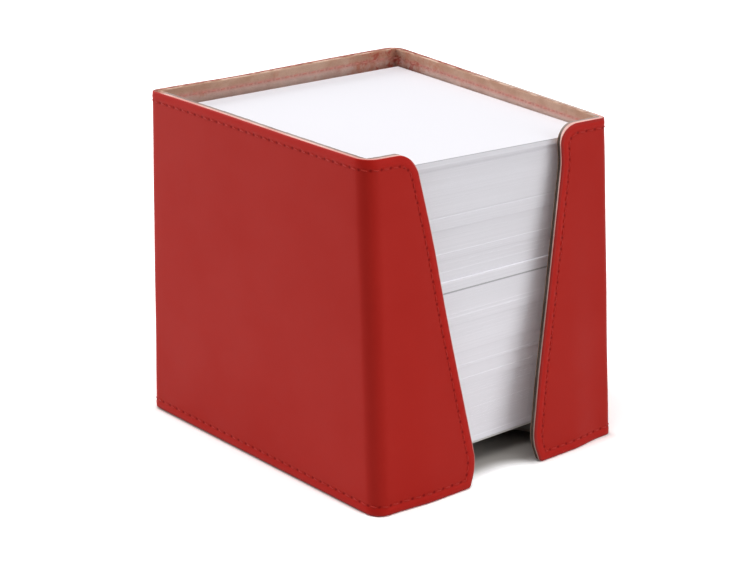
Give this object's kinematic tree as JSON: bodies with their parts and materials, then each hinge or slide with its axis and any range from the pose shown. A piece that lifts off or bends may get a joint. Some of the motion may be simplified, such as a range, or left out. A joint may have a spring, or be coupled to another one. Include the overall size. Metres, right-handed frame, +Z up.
{
  "type": "memo cube holder",
  "caption": "Open-fronted leather desk holder that keeps a cube of loose memo sheets on a raised floor, taken from the open top.",
  "frame": {"origin": "middle of the footprint, on the surface that the holder stands on", "axes": "+Z up; the open mouth between the flaps faces -Y; +X to the right as seen from in front of the mouth"},
  "size_m": [0.0966, 0.108, 0.104],
  "materials": {
    "cover_leather": "smooth dyed leather, satin",
    "lining_leather": "tan split leather, matt",
    "sole_leather": "brown split leather, matt",
    "board": "grey board, matt",
    "card": "white-faced grey card",
    "paper": "uncoated white paper"
  },
  "bodies": {
    "holder": {"outer_cover": "cover_leather", "inner_lining": "lining_leather", "base_board": "board", "base_cover": "sole_leather"},
    "lower_stack": {"backing_card": "card", "lower_bundle_1": "paper", "lower_bundle_2": "paper", "lower_bundle_3": "paper", "lower_bundle_4": "paper", "lower_bundle_5": "paper", "lower_bundle_6": "paper"},
    "upper_stack": {"upper_bundle_1": "paper", "upper_bundle_2": "paper", "upper_bundle_3": "paper", "upper_bundle_4": "paper", "upper_bundle_5": "paper"},
    "top_pad": {"top_sheets_1": "paper", "top_sheets_2": "paper", "top_sheets_3": "paper"}
  },
  "joints": [
    {"name": "lower_stack_lift", "type": "slide", "parent": "holder", "child": "lower_stack", "axis": [0, 0, 1], "range_m": [0, 0.1]},
    {"name": "upper_stack_lift", "type": "slide", "parent": "lower_stack", "child": "upper_stack", "axis": [0, 0, 1], "range_m": [0, 0.05]},
    {"name": "top_pad_lift", "type": "slide", "parent": "upper_stack", "child": "top_pad", "axis": [0, 0, 1], "range_m": [0, 0.02]}
  ]
}
